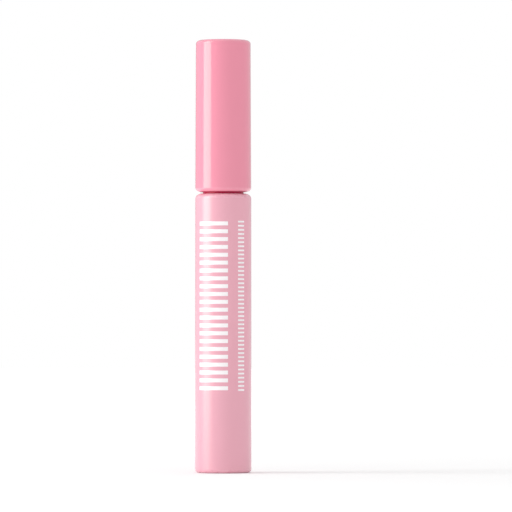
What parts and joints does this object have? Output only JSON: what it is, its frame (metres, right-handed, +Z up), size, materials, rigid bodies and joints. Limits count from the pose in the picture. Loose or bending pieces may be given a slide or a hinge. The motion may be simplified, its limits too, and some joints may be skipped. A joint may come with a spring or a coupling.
{
  "type": "mascara tube",
  "caption": "Slim round screw-capped mascara tube with a wand and moulded brush that hang inside the bottle, standing on its flat base.",
  "frame": {"origin": "centre of the flat base that the closed tube stands on", "axes": "+Z up along the tube's axis, from the bottle's base to the cap's closed end; +X to the right seen from the front"},
  "size_m": [0.017, 0.017, 0.13],
  "materials": {
    "shell_plastic": "opaque light pink, sprayed and gloss lacquered",
    "vial_plastic": "moulded deep pink polypropylene",
    "wiper_plastic": "soft natural polyethylene",
    "mascara_paste": "wet black paste",
    "washer_foam": "fine closed-cell foam",
    "inner_cap_plastic": "moulded pink polypropylene",
    "cap_plastic": "opaque rose pink, sprayed and gloss lacquered",
    "wand_plastic": "moulded black acetal, smooth",
    "brush_elastomer": "moulded black elastomer, satin"
  },
  "bodies": {
    "bottle": {"bottle_shell": "shell_plastic", "inner_vial": "vial_plastic", "wiper": "wiper_plastic", "mascara_formula": "mascara_paste"},
    "washer": {"sealing_washer": "washer_foam"},
    "applicator": {"outer_cap": "cap_plastic", "inner_cap": "inner_cap_plastic", "wand": "wand_plastic", "brush": "brush_elastomer"}
  },
  "joints": [
    {"name": "applicator_lift", "type": "slide", "parent": "bottle", "child": "washer", "axis": [0, 0, 1], "range_m": [0, 0.095], "deforming": ["brush"]},
    {"name": "cap_turn", "type": "hinge", "parent": "washer", "child": "applicator", "pos_m": [0, 0, 0.0949], "axis": [0, 0, 1], "continuous": true}
  ],
  "couplings": [
    {"joint": "cap_turn", "follows": "applicator_lift", "rad_per_m": 1256.6}
  ]
}
